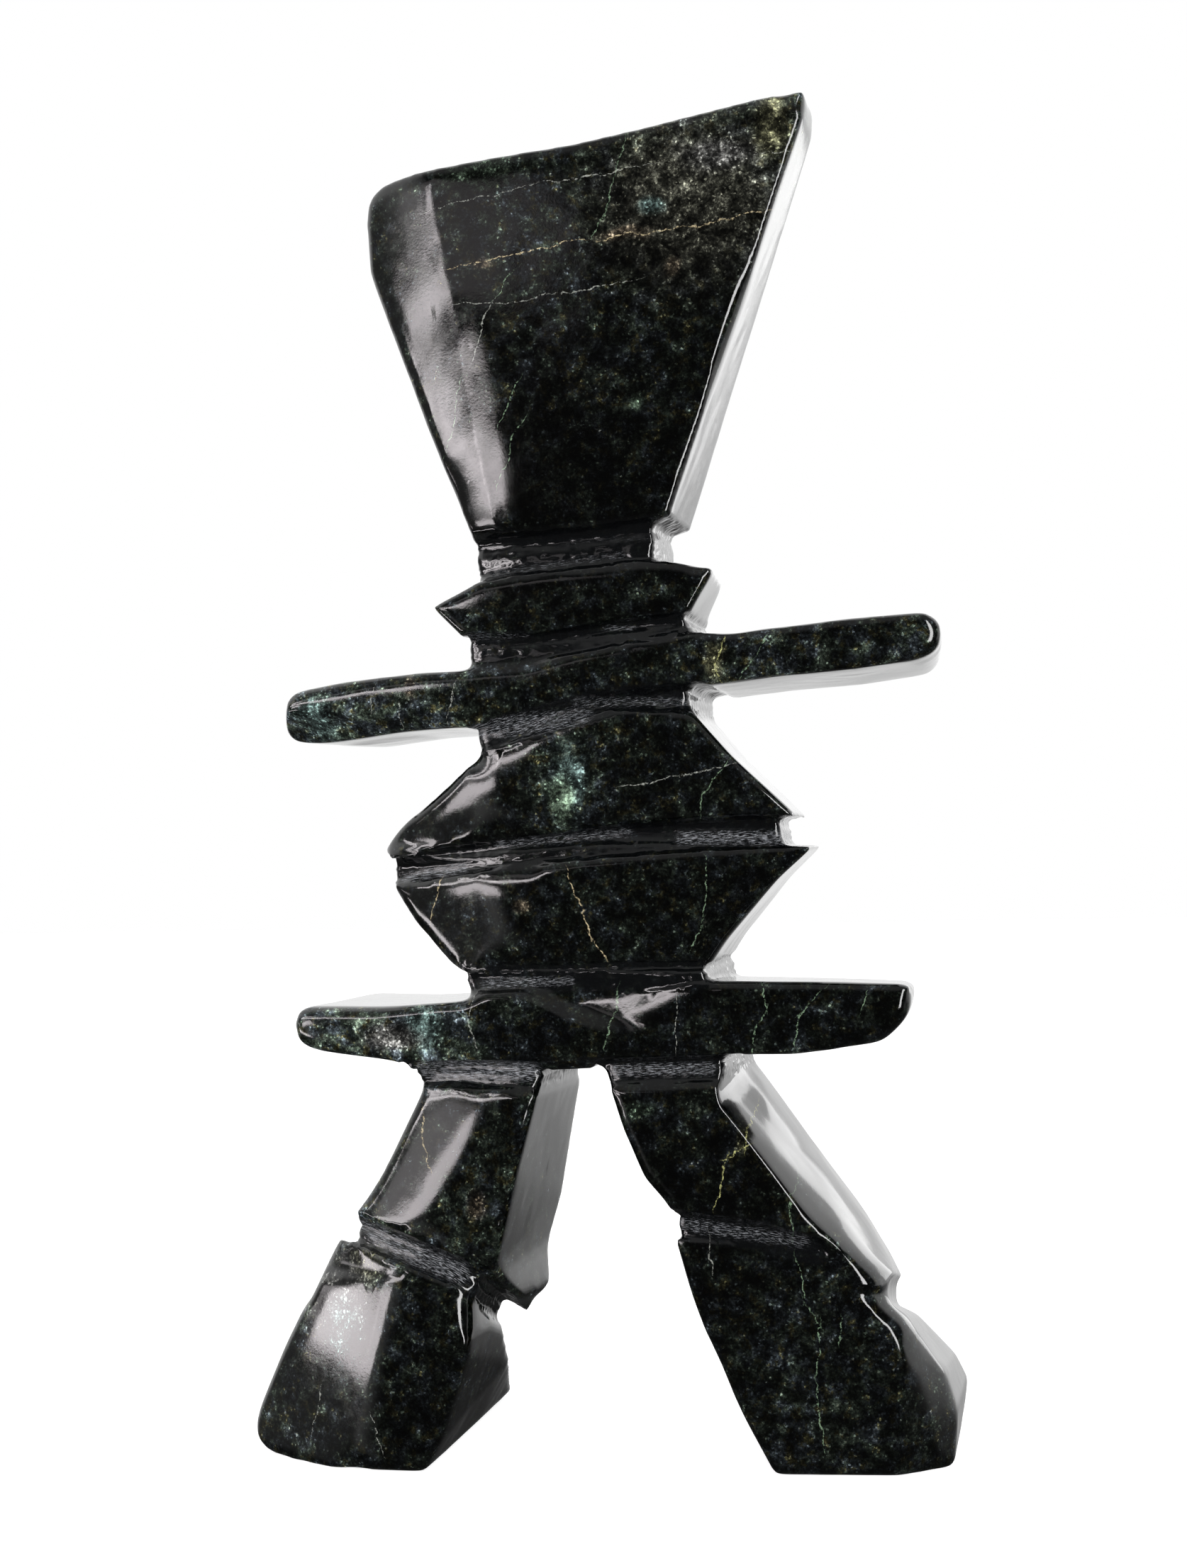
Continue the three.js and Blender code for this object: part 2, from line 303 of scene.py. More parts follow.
# %% Grooves
GROOVES = {
    # line, half the width in shares, metres of fall for each metre of depth
    "neck": ([(-11, 66.7), (-5, 66.9), (4, 67.6)], 1.9, 0),
    "shoulder": ([(-11, 60.3), (-6, 60.0), (-1, 60.6), (6, 61.3)], 1.1, 0),
    "armpit": ([(-11, 53.2), (-5, 54.8), (0, 55.8), (6, 56.0)], 1.2, 0),
    "waist": ([(-18, 43.9), (-9, 44.8), (-2, 45.6), (8, 46.1), (14, 46.2)], 1.25, 0),
    "hip": ([(-11.5, 35.7), (6, 36.0)], 1.15, 0),
    "left groin": ([(-16, 28.9), (-6.5, 28.7)], 1.15, 0),
    "right groin": ([(-1.5, 29.0), (8.5, 29.3)], 1.05, 0),
    "left ankle": ([(-21.4, 18.3), (-16.8, 16.4), (-12.7, 14.8), (-10, 13.2)], 1.15, 0.42),
    "right ankle": ([(3.4, 18.3), (9.7, 17.5), (13.6, 16.5)], 1.1, 0.21),
}
GROOVE_RIM = 1.1
GROOVE_FLOOR = 0.75


def groove_marks(points):
    """How much each point lies in a groove, and the place across it, up it and along it."""
    mask = np.zeros(len(points))
    across_groove = np.zeros(len(points))
    height_in_groove = np.zeros(len(points))
    along_groove = np.zeros(len(points))
    for line, half, drop in GROOVES.values():
        x, z, depth = drawn(points, drop)
        off_line, way = line_distance(x, z, line)
        here = smooth_step(np.abs(off_line), half * GROOVE_RIM, half * GROOVE_FLOOR)
        nearer = here > mask
        across_groove = np.where(nearer, off_line * SHARE, across_groove)
        height_in_groove = np.where(nearer, off_line / half, height_in_groove)
        along_groove = np.where(nearer, way * SHARE + depth, along_groove)
        mask = np.maximum(mask, here)
    return mask, across_groove, height_in_groove, along_groove


points = points_of(skin)
groove, across_groove, height_in_groove, along_groove = groove_marks(points)
print("points in grooves:", int((groove > 0.5).sum()))

# %% [markdown]
# Sandpaper works on edges first. The arrises between front and flanks are only just broken, but
# where a broad flat was ground onto the front the stone turns softly, and a reflection fades there
# over several millimetres. So the rubbing is weak in general and strong near the lines where
# the flats begin, and it spares the grooves. A few arrises on the right were rounded further than
# the rest: they catch the light as fine bright lines.

# %% Soft edges of the ground flats
SOFT_EVERYWHERE = 0.07
SOFT_CORE = 0.3
SOFT_DEPTH = (16 * MM, 9 * MM)
SOFT_RUBBING = 0.6
SOFT_TIMES = 150
SPARED_IN_GROOVES = 0.9
SOFT_LINES = [
    # line, reach in shares, how soft
    ([(-9.0, 73), (-11.8, 92)], 4.2, 1.0),
    ([(-7.6, 38), (-8.7, 52)], 3.0, 1.0),
    ([(-14.3, 18), (-9.9, 26)], 2.4, 0.8),
    ([(-20.4, 1.5), (-17.4, 13)], 2.2, 0.7),
    ([(-12.2, 14.5), (-11.0, 11.0)], 1.6, 0.8),
    ([(8.6, 28.0), (16.6, 17.0)], 1.6, 0.8),
    ([(13.5, 17.5), (20.5, 12.5)], 2.0, 0.9),
    ([(20.5, 12.5), (24.5, 9.0)], 2.0, 0.8),
    ([(22.0, 0), (20.9, 9)], 1.6, 0.6),
    ([(6.0, 71), (12.6, 97)], 0.7, 0.30),
    ([(13.2, 99.4), (14.6, 99.0)], 1.2, 0.30),
    ([(21.0, 57.6), (23.2, 59.0), (23.2, 61.6)], 0.8, 0.30),
    ([(16.0, 30.4), (19.8, 31.6), (20.9, 34.4)], 0.8, 0.30),
    ([(5.2, 64.2), (6.6, 66.2)], 0.8, 0.30),
    ([(-1.5, 33.2), (2.2, 32.9), (5.6, 34.8)], 1.8, 1.0),
]

edges = edges_of(skin)
x, z, depth = drawn(points)
on_front = smooth_step(depth, *SOFT_DEPTH)
softness = np.full(len(points), SOFT_EVERYWHERE)
for line, reach, strength in SOFT_LINES:
    near = strength * smooth_step(away_from(x, z, line), reach, reach * SOFT_CORE) * on_front
    softness = np.maximum(softness, near * (1 - SPARED_IN_GROOVES * groove))
points = rub(points, edges, SOFT_RUBBING * softness, SOFT_TIMES)
print("soft points:", int((softness > 0.5).sum()))

# %% [markdown]
# Years of handling and waxing crown each face: its middle stays, and it falls back towards its
# edges. A copy of the skin that is rubbed very hard shows where the stone would go. Moving every
# point part of the way there, and mostly front to back, crowns the faces and keeps the outline.

# %% Crowned faces
CROWN_BACK = 0.15
CROWN_ASIDE = 0.04
WEAR_RUBBING = 0.9
WEAR_TIMES = 80
WEAR_SPARED_IN_GROOVES = 0.75

worn = rub(points.copy(), edges, WEAR_RUBBING, WEAR_TIMES)
share_of_wear = (1 - WEAR_SPARED_IN_GROOVES * groove)[:, None]
share_of_wear = share_of_wear * np.array([CROWN_ASIDE, CROWN_BACK, CROWN_ASIDE])
wear = share_of_wear * (worn - points)
points += wear
print("crowning moves the skin by up to", round(float(np.abs(wear).max()) / MM, 1), "mm")

# %% [markdown]
# The flank of the right calf isn't square to its front: it leans outward to the back, and so it
# turns towards the light. Its front edge is set in here, and every point behind it a little less.

# %% Leaning flank
LEANING_FLANK = [(9.6, 27.6), (15.6, 20.0), (18.8, 16.4)]
FLANK_REACH = (3.0, 0.6)
FLANK_DEPTH = (36 * MM, 0)
FLANK_SET_IN = 1.3 * SHARE

x, z, depth = drawn(points)
near_flank = smooth_step(away_from(x, z, LEANING_FLANK), *FLANK_REACH)
set_in = FLANK_SET_IN * near_flank * smooth_step(depth, *FLANK_DEPTH)
points[:, 0] -= set_in
print("the flank is set in by up to", round(float(set_in.max()) / MM, 1), "mm")

# %% [markdown]
# The ground flats aren't flat either: each falls away from its line on a wide radius, because the
# stone rocked on the grinding plate. That is what makes a reflection begin at the line and die
# out towards the edge. The trunk stones fall away towards the ground in the same way, the upper one
# from its middle and the lower one from its top. How far each point falls is only added up here.

# %% Flats that fall away
FALLS = {
    # line, radius in mm, 1 for the side on its left or above, -1 below, lowest and highest share
    "head": ([(-8.6, 68), (-12.8, 98)], 85, 1, 68.6, 101),
    "trunk": ([(-8.0, 44.5), (-8.8, 54)], 110, 1, 45.0, 55),
    "low trunk": ([(-7.4, 36), (-8.0, 45)], 95, 1, 36.6, 44.4),
    "left shin": ([(-15.4, 16), (-8.8, 28)], 130, 1, 14, 28.4),
    "left foot": ([(-20.8, 0), (-17.0, 14.5)], 95, 1, -1, 17.6),
    "left arm": ([(-11, 50), (-11, 60)], 700, 1, 50, 58.8),
    "left hip": ([(-9, 28), (-9, 36)], 500, 1, 29.6, 36),
    "upper trunk": ([(-20, 50.6), (15, 52.4)], 140, -1, 45.5, 54),
    "lower trunk": ([(-20, 44.2), (15, 46.2)], 180, -1, 36.5, 45.6),
}

END_FADE = 0.3


def between(z, lowest, highest, low_fade=END_FADE):
    """1 between two heights, with a soft change at either, in shares."""
    above = smooth_step(z, lowest - low_fade, lowest + low_fade)
    return above * smooth_step(z, highest + END_FADE, highest - END_FADE)


x, z, depth = drawn(points)
fall = np.zeros(len(points))
for line, radius, side, lowest, highest in FALLS.values():
    beyond = np.maximum(line_distance(x, z, line)[0] * side, 0) * SHARE
    fall += between(z, lowest, highest) * beyond ** 2 / (2 * radius * MM)
print("flats will fall back by up to", round(float(fall.max()) / MM, 1), "mm")

# %% [markdown]
# On the right calf and foot the stone breaks at a ridge instead, and slopes straight down to the
# flank behind it. Half the sum of a distance and its size is nothing on one side of the ridge and
# the distance on the other. A size that never quite gets to 0 makes the ridge a soft one.

# %% Ridges on the calf and the foot
CALF_RIDGE = [(6.6, 28.0), (7.7, 26.8), (10.8, 23.4), (13.1, 19.8), (14.6, 17.4)]
FOOT_RIDGE = [(14.5, 14.6), (16.7, 13.0), (18.9, 10.7), (20.5, 7.5), (21.5, 4.0), (22.0, 0)]
RIDGES = [
    # line, slope, how soft the ridge is in mm, lowest and highest share
    (CALF_RIDGE, 0.90, 1.6, 18.4, 27.0),
    (FOOT_RIDGE, 0.70, 1.0, -1, 13.4),
]
RIDGE_LOW_FADE = 1.2
RIGHT_LEG = (2, 5)

for line, slope, softness_mm, lowest, highest in RIDGES:
    beyond = line_distance(x, z, line)[0] * SHARE
    softly_beyond = (beyond + np.hypot(beyond, softness_mm * MM)) / 2
    inside = between(z, lowest, highest, RIDGE_LOW_FADE)
    fall += inside * slope * softly_beyond * smooth_step(x, *RIGHT_LEG)
print("with the ridges,", round(float(fall.max()) / MM, 1), "mm")

# %% [markdown]
# Now the points fall. Each goes along the camera's line of sight, so the outline in the picture
# stays where it was sawn. A little rubbing takes out the ripples, and the leaning flank gets more
# of it, except at its ridge.

# %% Let the flats fall
FALL_DEPTH = (26 * MM, 8 * MM)
RIPPLED = (0.2 * MM, 0.8 * MM)
RIPPLE_RUBBING = 0.5
RIPPLE_TIMES = 16
OFF_RIDGE = (0.6, 1.6)
FLANK_RUBBING = 0.6
FLANK_TIMES = 90

fall *= smooth_step(depth, *FALL_DEPTH)
sight = points - np.array(CAMERA_AT)
sight /= sight[:, 1:2]
points += sight * fall[:, None]
rippled = RIPPLE_RUBBING * smooth_step(fall, *RIPPLED) * (1 - groove)
points = rub(points, edges, rippled, RIPPLE_TIMES)
off_ridge = smooth_step(away_from(x, z, CALF_RIDGE), *OFF_RIDGE)
points = rub(points, edges, FLANK_RUBBING * near_flank * off_ridge * (1 - groove), FLANK_TIMES)
keep_above_ground(points)
print("points that fall:", int((fall > RIPPLED[0]).sum()))

# %% [markdown]
# Left of the middle, the groove above the hips wasn't filed straight. Its lower edge runs along the
# slab, then sinks across the front in a soft curve and dies out. A step along that curve does it:
# the stone above the line is set back by a millimetre. Each pair of numbers says where the step is
# nothing and where it is whole: across the line, along it, up, aside, and from front to back.

# %% Crease across the hips
CREASE = [(-11.5, 34.9), (-7.0, 34.7), (-5.7, 34.0), (-3.9, 32.8), (-1.5, 32.0), (3.0, 31.0)]
CREASE_DEPTH = 1.1 * MM
CREASE_ACROSS = (-0.35, 1.3)
CREASE_ALONG = (17, 8)
CREASE_UP = (36.6, 35.6)
CREASE_ASIDE = (-12.0, -10.6)
CREASE_BACK = (12 * MM, 6 * MM)

off_line, way = line_distance(x, z, CREASE)
fading = smooth_step(way, *CREASE_ALONG) * smooth_step(z, *CREASE_UP) * smooth_step(x, *CREASE_ASIDE)
step = CREASE_DEPTH * smooth_step(off_line, *CREASE_ACROSS) * fading * smooth_step(depth, *CREASE_BACK)
points[:, 1] += step
set_points(skin, points)
print("the crease is", round(float(step.max()) / MM, 1), "mm deep")

# %% [markdown]
# A file leaves parallel ridges, and it skips: a ridge runs on for some millimetres, stops, and
# another begins beside it. A wave across the groove gives the ridges. Slow unrest bends it and
# switches it on and off, so that no two stretches are alike. The groove is undercut along its upper
# side, and that is where its dark shadow comes from. The faces get a wide, low unrest and a finer
# one, and the soles stay flat.

# %% File marks and unrest
RIDGE_PITCH = 1.35 * MM
RIDGE_HEIGHT = 0.12 * MM
BEND = 1.6
BEND_LENGTH = 14 * MM
SKIP = (-0.7, 0.6)
SKIP_LENGTH = 5 * MM
SKIP_STRETCH = (0.5, 1.6, 1)
CRUMBLE_HEIGHT = 0.04 * MM
CRUMBLE_LENGTH = 2.2 * MM
UNDERCUT = 0.8 * MM
UNDERCUT_AT = 0.5
UNDERCUT_WIDTH = 0.35
UNREST_HEIGHT = 0.05 * MM
UNREST_LENGTH = 34 * MM
SHAKE_HEIGHT = 0.012 * MM
SHAKE_LENGTH = 7 * MM
ABOVE_SOLE = (0.3 * MM, 2.5 * MM)

normals = normals_of(skin)
face = 1 - groove
groove_place = np.stack([along_groove, across_groove, np.zeros(len(points))], axis=1)
bend = unrest(groove_place, BEND_LENGTH, seed=3) * BEND
skips = smooth_step(unrest(groove_place, SKIP_LENGTH, seed=4, stretch=SKIP_STRETCH), *SKIP)
ridges = np.cos(across_groove * 2 * np.pi / RIDGE_PITCH + bend)
lift = groove * RIDGE_HEIGHT * ridges * skips
lift += groove * CRUMBLE_HEIGHT * unrest(points, CRUMBLE_LENGTH, seed=5)
lift -= groove * UNDERCUT * np.exp(-((height_in_groove - UNDERCUT_AT) / UNDERCUT_WIDTH) ** 2)
lift += face * UNREST_HEIGHT * unrest(points, UNREST_LENGTH, seed=6)
lift += face * SHAKE_HEIGHT * unrest(points, SHAKE_LENGTH, seed=7)
lift *= smooth_step(points[:, 2], *ABOVE_SOLE)
points += normals * lift[:, None]
keep_above_ground(points)
set_points(skin, points)
print("file marks lift the skin by up to", round(float(np.abs(lift).max()) / MM, 2), "mm")

# %% [markdown]
# The skin now has far more points than the broad faces need. Decimate takes out the points whose
# loss changes least, so the faces thin out and the grooves and edges keep theirs.

# %% Thin out the faces
MOST_TRIANGLES = 190000

triangles = sum(len(polygon.vertices) - 2 for polygon in skin.polygons)
kept_share = MOST_TRIANGLES / triangles
skin = with_modifier(skin, "DECIMATE", ratio=kept_share, use_collapse_triangulate=True)
skin.shade_smooth()
print("triangles:", triangles, "before,", len(skin.polygons), "after")

# %% [markdown]
# The finish differs from place to place, and the shader has to know where. A mask written onto the
# points travels with the mesh, and needs no unwrapping: an attribute node reads it back. The first
# masks say where the grooves are and where a point is in them.

# %% Masks for the grooves
def write_mask(mesh, name, values):
    layer = mesh.attributes.new(name, "FLOAT", "POINT")
    layer.data.foreach_set("value", values.astype(np.float32))


points = points_of(skin)
groove, across_groove, _, along_groove = groove_marks(points)
write_mask(skin, "groove", groove)
write_mask(skin, "groove_across", across_groove)
write_mask(skin, "groove_along", along_groove)
print("groove masks written on", len(points), "points")

# %% [markdown]
# Most of a groove is painted nearly black in the shader, partly for its dull stone and partly as
# painted shade in the recess. Only in some stretches the bruised ridges still show whitish, as rows of
# short dashes. Each stretch is a line with half its width.

# %% Mask for the whitish stretches
RASPED = [
    # from, to, half the width in shares, how white
    ((-9.2, 65.6), (0.7, 66.6), 0.25, 0.45),
    ((-3.6, 67.8), (3.4, 67.8), 0.20, 0.2),
    ((-11.0, 61.0), (-6.6, 61.1), 0.30, 0.5),
    ((-2.6, 62.1), (0.9, 62.0), 0.25, 0.7),
    ((-0.8, 61.3), (1.4, 61.2), 0.20, 0.7),
    ((-10.6, 54.2), (-2.5, 54.6), 0.80, 0.8),
    ((-3.0, 55.9), (4.8, 55.7), 0.35, 0.6),
    ((-16.8, 43.2), (-12.0, 43.9), 0.45, 0.9),
    ((-9.2, 45.6), (0.6, 46.3), 0.35, 0.7),
    ((4.6, 45.8), (13.4, 45.6), 0.50, 0.9),
    ((-10.2, 35.4), (-3.8, 35.6), 0.35, 0.8),
    ((-14.8, 29.1), (-7.0, 29.1), 0.75, 1.0),
    ((-0.4, 29.1), (6.4, 29.2), 0.45, 0.8),
    ((-20.8, 17.8), (-12.4, 14.4), 0.80, 0.9),
    ((4.2, 18.1), (12.8, 17.0), 0.50, 0.7),
]
RASPED_RIM = 1.5
RASPED_CORE = 0.6

x, z, _ = drawn(points)
rasped = np.zeros(len(points))
for start, end, half, whiteness in RASPED:
    away = away_from(x, z, [start, end])
    near = whiteness * smooth_step(away, half * RASPED_RIM, half * RASPED_CORE)
    rasped = np.maximum(rasped, near)
write_mask(skin, "rasped", rasped)
print("whitish points:", int((rasped > 0.3).sum()))

# %% [markdown]
# Serpentine isn't the same all through. Some parts of the block are crowded with pale minerals, and
# others are pure black. How rich the stone is near a few places is written down, from 0 to a little
# over 1, and every point takes the mean of the places around it, the nearest counting most. The
# layers run right through the stone, so the back gets the same parts as the front.

# %% Mask for the rich parts of the stone
RICHNESS = [
    # x, z in shares, how rich
    (11, 97, 1.05), (6, 94, 1.00), (-3, 93, 0.75), (-14, 91, 0.55), (10, 87, 0.60),
    (1, 87, 0.60), (-9, 84, 0.50), (6, 80, 0.45), (-2, 80, 0.30), (4, 73, 0.25),
    (-4, 73, 0.05), (-1, 70, 0.05), (-3, 64, 0.28), (4, 64, 0.26), (-23, 55, 1.20),
    (-15, 56, 1.05), (-7, 58, 0.55), (0, 58, 0.50), (8, 59, 0.80), (20, 60, 0.70),
    (-10, 49, 0.35), (-4, 50, 0.85), (2, 50, 0.35), (8, 49, 0.45), (-13, 41, 0.45),
    (-5, 40, 0.42), (4, 41, 0.40), (9, 42, 0.35), (-21, 32, 1.10), (-15, 32, 1.20),
    (-7, 32, 0.55), (2, 32, 0.35), (10, 33, 0.42), (19, 33, 0.40), (-13, 24, 0.60),
    (-9, 20, 0.65), (-22, 12, 1.00), (-24, 4, 0.65), (-17, 8, 0.50), (-14, 4, 0.30),
    (3, 26, 0.35), (8, 24, 0.35), (5, 21, 0.15), (8, 13, 0.35), (13, 10, 0.55), (14, 3, 0.55),
]
REACH_OF_A_PLACE = 3.5
NEXT_TO_NOTHING = 1e-9

weighted = np.zeros(len(points))
weight = np.full(len(points), NEXT_TO_NOTHING)
for place_x, place_z, richness in RICHNESS:
    near = near_place(x, z, place_x, place_z, REACH_OF_A_PLACE)
    weighted += near * richness
    weight += near
rich = weighted / weight
write_mask(skin, "rich", rich)
print("mean richness:", round(float(rich.mean()), 2))

# %% [markdown]
# The finished skin becomes an object of its own. It takes the plain solid's place in the picture,
# and it rides with the same body.

# %% The carving
carving = bpy.data.objects.new("polished_carving", skin)
bpy.context.scene.collection.objects.link(carving)
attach(carving, "root")
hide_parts("inukshuk_carving")
print("carving:", [round(v / MM, 1) for v in carving.dimensions], "mm")

# %% [markdown]
# Shader nodes are easier to read as a formula. These few helpers add one node each and return its
# output, so a line of code is a step of the recipe.

# %% Shader helpers
serpentine = bpy.data.materials.new("polished_serpentine")
serpentine.use_nodes = True
tree = serpentine.node_tree
tree.nodes.clear()


def feed(socket, value):
    """Links an output into a socket, or sets the socket to a plain value."""
    if isinstance(value, bpy.types.NodeSocket):
        socket.id_data.links.new(value, socket)
    else:
        socket.default_value = value


def math_node(operation, *values):
    node = tree.nodes.new("ShaderNodeMath")
    node.operation = operation
    for socket, value in zip(node.inputs, values):
        feed(socket, value)
    return node.outputs[0]


def vector_node(operation, *values, scale=None):
    node = tree.nodes.new("ShaderNodeVectorMath")
    node.operation = operation
    for socket, value in zip(node.inputs, values):
        feed(socket, value)
    if scale is not None:
        feed(node.inputs["Scale"], scale)
    return node.outputs["Value" if operation == "DOT_PRODUCT" else "Vector"]


def noise(where, size, detail, roughness, coloured=False):
    """Noise with features of about this size, in metres. Coloured noise is three at once."""
    node = tree.nodes.new("ShaderNodeTexNoise")
    feed(node.inputs["Vector"], where)
    feed(node.inputs["Scale"], 1 / size)
    feed(node.inputs["Detail"], detail)
    feed(node.inputs["Roughness"], roughness)
    return node.outputs["Color" if coloured else "Fac"]


def ramp(value, low_end, high_end, low_value=0.0, high_value=1.0):
    """A smooth change of value between two ends."""
    node = tree.nodes.new("ShaderNodeMapRange")
    node.interpolation_type = "SMOOTHSTEP"
    for name, number in (("Value", value), ("From Min", low_end), ("From Max", high_end),
                         ("To Min", low_value), ("To Max", high_value)):
        feed(node.inputs[name], number)
    return node.outputs["Result"]


def blend_colour(share, under, over):
    node = tree.nodes.new("ShaderNodeMix")
    node.data_type = "RGBA"
    feed(node.inputs["Factor"], share)
    feed(node.inputs["A"], under)
    feed(node.inputs["B"], over)
    return node.outputs["Result"]


def mask_on_points(name):
    node = tree.nodes.new("ShaderNodeAttribute")
    node.attribute_name = name
    return node.outputs["Fac"]


def colour(r, g, b):
    return (r, g, b, 1.0)


where = tree.nodes.new("ShaderNodeTexCoord").outputs["Object"]
print("shader helpers ready")

# %% [markdown]
# Close up the stone is a crumble of tiny crystals. Noise with much detail looks like that, because it
# repeats its pattern at ever smaller sizes. Its middle, 0.5, is the usual stone, and the ends are
# rare. Three noises do it: broad clouds, crumbs of a few millimetres, and grains. A Voronoi texture
# adds single specks: each of its cells has a random number, and the highest seventh shine out.

# %% Clouds, crumbs and grains
# size, detail, roughness
CLOUDS = (16 * MM, 3.0, 0.55)
CRUMBS = (3.2 * MM, 6.0, 0.72)
GRAINS = (0.60 * MM, 3.0, 0.70)
SPECK_SIZE = 0.42 * MM
SHINING = (0.86, 1.0)

clouds = noise(where, *CLOUDS)
crumbs = noise(where, *CRUMBS)
grains = noise(where, *GRAINS)
cells = tree.nodes.new("ShaderNodeTexVoronoi")
feed(cells.inputs["Vector"], where)
feed(cells.inputs["Scale"], 1 / SPECK_SIZE)
chance = tree.nodes.new("ShaderNodeSeparateXYZ")
feed(chance.inputs["Vector"], cells.outputs["Color"])
specks = ramp(chance.outputs[0], *SHINING)
print("noises and specks")

# %% [markdown]
# The eye reads stone in steps of brightness, each a doubling, so the recipe adds up doublings and
# takes a power of two at the end. Black stone starts at a very low value. Richness, crumbs and
# grains add to it, and the result runs from black to a pale grey, which it gets to only where
# grains and crumbs are both at their ends.

# %% Lightness of the stone
DARKEST = 0.00038
DOUBLINGS_OF_RICHNESS = 4.4
DOUBLINGS_OF_CRUMBS = 21.0
DOUBLINGS_OF_GRAINS = 10.0
DOUBLINGS_OF_CLOUDS = 2.5
DOUBLINGS_OF_SPECKS = 2.9
USUAL = 0.5

rich_mask = mask_on_points("rich")
crumbs_up = math_node("SUBTRACT", crumbs, USUAL)
grains_up = math_node("SUBTRACT", grains, USUAL)
doublings = math_node("MULTIPLY", crumbs_up, DOUBLINGS_OF_CRUMBS)
doublings = math_node("MULTIPLY_ADD", rich_mask, DOUBLINGS_OF_RICHNESS, doublings)
doublings = math_node("MULTIPLY_ADD", grains_up, DOUBLINGS_OF_GRAINS, doublings)
clouds_up = math_node("SUBTRACT", clouds, USUAL)
doublings = math_node("MULTIPLY_ADD", clouds_up, DOUBLINGS_OF_CLOUDS, doublings)
doublings = math_node("MULTIPLY_ADD", specks, DOUBLINGS_OF_SPECKS, doublings)
print("richest stone is", round(2 ** DOUBLINGS_OF_RICHNESS), "times as light as the darkest")

# %% [markdown]
# The hue changes at another pace than the lightness: blue black slate, grey green and olive lie side
# by side in patches a few millimetres wide, and the lightest grains are a warm cream.

# %% Hue of the stone
SLATE = colour(0.80, 1.00, 1.14)
GREY_GREEN = colour(0.84, 1.12, 0.84)
OLIVE = colour(1.16, 1.10, 0.50)
CREAM = colour(1.10, 1.07, 0.80)
HUE_PATCHES = (4.5 * MM, 4.0, 0.65)
WARM_SPOTS = (2.2 * MM, 4.0, 0.65)
GREEN_BEGINS = (0.42, 0.56)
OLIVE_BEGINS = (0.54, 0.62)
CREAM_BEGINS = (0.60, 0.72)
MOST_CREAM = 0.8

hue_patches = noise(where, *HUE_PATCHES)
warm_spots = noise(where, *WARM_SPOTS)
hue = blend_colour(ramp(hue_patches, *GREEN_BEGINS), SLATE, GREY_GREEN)
hue = blend_colour(ramp(warm_spots, *OLIVE_BEGINS), hue, OLIVE)
hue = blend_colour(ramp(grains, *CREAM_BEGINS, 0.0, MOST_CREAM), hue, CREAM)
print("hues mixed")

# %% [markdown]
# A vein is a sheet of pale mineral that once filled a crack, and a stain is a lump of it. Both can
# be told by one trick: a Mapping node squeezes space around a place, so that a long thin oval in
# the stone becomes a ball, and a spherical gradient falls from 1 in the ball's middle to 0 at its
# rim. The ovals are deep, so the same vein shows on the front and, thinner, on the back. A shaken
# place lets them wander.

# %% Ovals in the stone
OVAL_DEPTH = 90 * MM
WANDER = (6 * MM, 5.0, 0.62)
WANDER_REACH = 4.0 * MM

wander = vector_node("SUBTRACT", noise(where, *WANDER, coloured=True), (USUAL, USUAL, USUAL))
wandered = vector_node("ADD", where, vector_node("SCALE", wander, scale=WANDER_REACH))


def oval(x, z, half_long, half_wide, way=0.0, soft=0.5):
    """1 inside an oval that lies along the way in degrees. Its half sizes are in metres."""
    squeeze = tree.nodes.new("ShaderNodeMapping")
    squeeze.vector_type = "TEXTURE"
    feed(squeeze.inputs["Vector"], wandered)
    squeeze.inputs["Location"].default_value = place(x, z)
    squeeze.inputs["Rotation"].default_value = (0, -math.radians(way), 0)
    squeeze.inputs["Scale"].default_value = (half_long, OVAL_DEPTH, half_wide)
    ball = tree.nodes.new("ShaderNodeTexGradient")
    ball.gradient_type = "SPHERICAL"
    feed(ball.inputs["Vector"], squeeze.outputs["Vector"])
    return ramp(ball.outputs["Fac"], 0.0, soft)


print("ovals reach", round(OVAL_DEPTH / MM), "mm into the stone")

# %% [markdown]
# Stains first. A stain makes the stone richer and tints it, and the crumbs go on through it. So it
# adds doublings of its own instead of being painted over. The first, wide one only tints.

